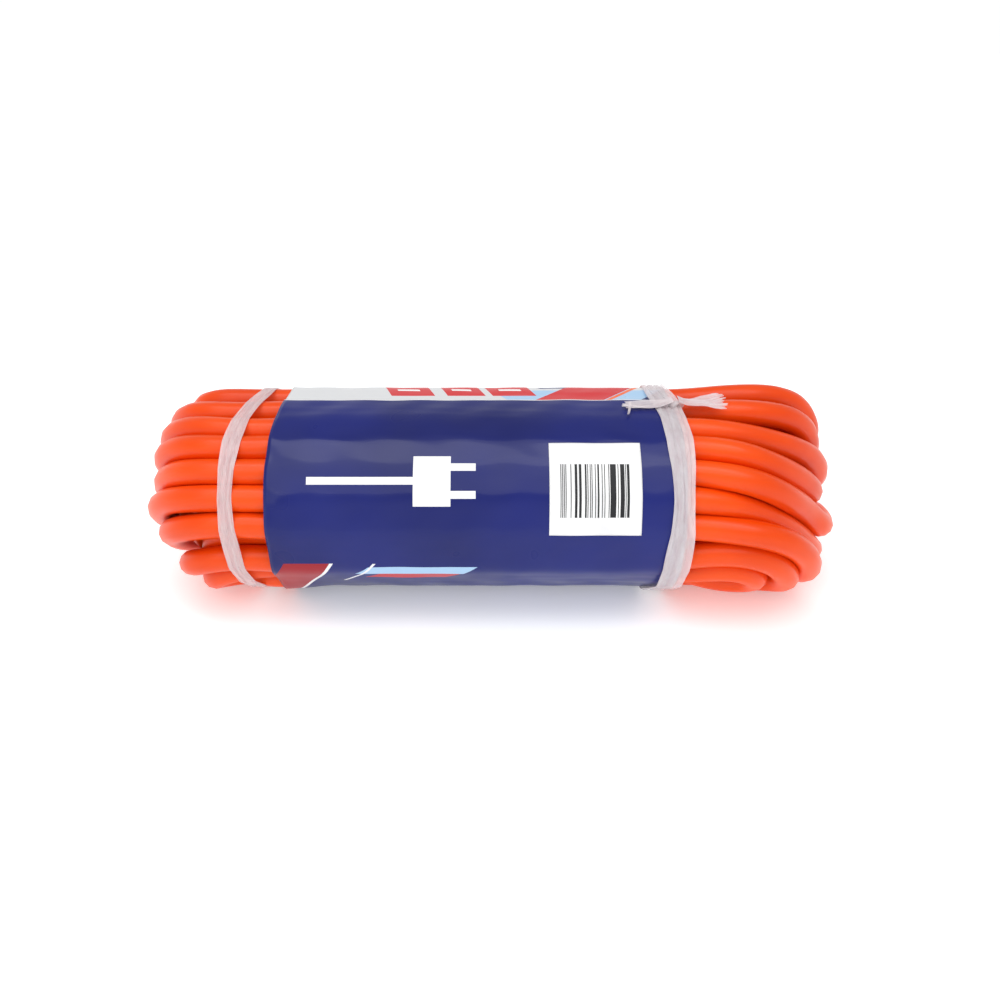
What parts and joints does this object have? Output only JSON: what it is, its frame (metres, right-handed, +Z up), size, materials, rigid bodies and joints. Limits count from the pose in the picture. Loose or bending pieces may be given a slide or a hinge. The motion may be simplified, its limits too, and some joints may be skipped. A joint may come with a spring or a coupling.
{
  "type": "extension cord",
  "caption": "Round three-core extension cord wound in long turns and tied as a hank in a printed sleeve, with its plug and connector lying behind it.",
  "frame": {"origin": "centre of the bounding box's underside: the middle of the floor area that the tied hank and its ends cover", "axes": "+Z up from the surface it lies on, +X along the hank towards its looser end, -Y out of the side that shows the sticker"},
  "size_m": [0.246, 0.1091, 0.0731],
  "materials": {
    "cord_jacket": "glossy extruded PVC, orange",
    "moulded_pvc": "moulded PVC, orange, satin",
    "sleeve_paper": "gloss-coated printed card, dark blue",
    "sticker_paper": "white label paper with a stripe pattern",
    "tie_film": "translucent fibrous film ribbon",
    "stiff_insulator": "black moulded nylon",
    "plated_brass": "nickel-bright brass",
    "contact_brass": "rolled brass strip",
    "line_insulation": "black PVC",
    "neutral_insulation": "white PVC",
    "ground_insulation": "green PVC",
    "copper_strand": "bare stranded copper, drawn solid"
  },
  "bodies": {
    "tied_cord": {"barcode_sticker": "sticker_paper", "connector_body": "moulded_pvc", "connector_ground_contact": "contact_brass", "connector_ground_core": "ground_insulation", "connector_ground_wire": "copper_strand", "connector_insert": "stiff_insulator", "connector_lead": "cord_jacket", "connector_line_contact": "contact_brass", "connector_line_core": "line_insulation", "connector_line_wire": "copper_strand", "connector_neutral_contact": "contact_brass", "connector_neutral_core": "neutral_insulation", "connector_neutral_wire": "copper_strand", "cord_hank": "cord_jacket", "label_sleeve": "sleeve_paper", "left_tie": "tie_film", "plug_body": "moulded_pvc", "plug_bridge": "stiff_insulator", "plug_ground_core": "ground_insulation", "plug_ground_pin": "plated_brass", "plug_ground_wire": "copper_strand", "plug_lead": "cord_jacket", "plug_line_blade": "plated_brass", "plug_line_core": "line_insulation", "plug_line_wire": "copper_strand", "plug_neutral_blade": "plated_brass", "plug_neutral_core": "neutral_insulation", "plug_neutral_wire": "copper_strand", "right_tie": "tie_film"}
  },
  "joints": []
}
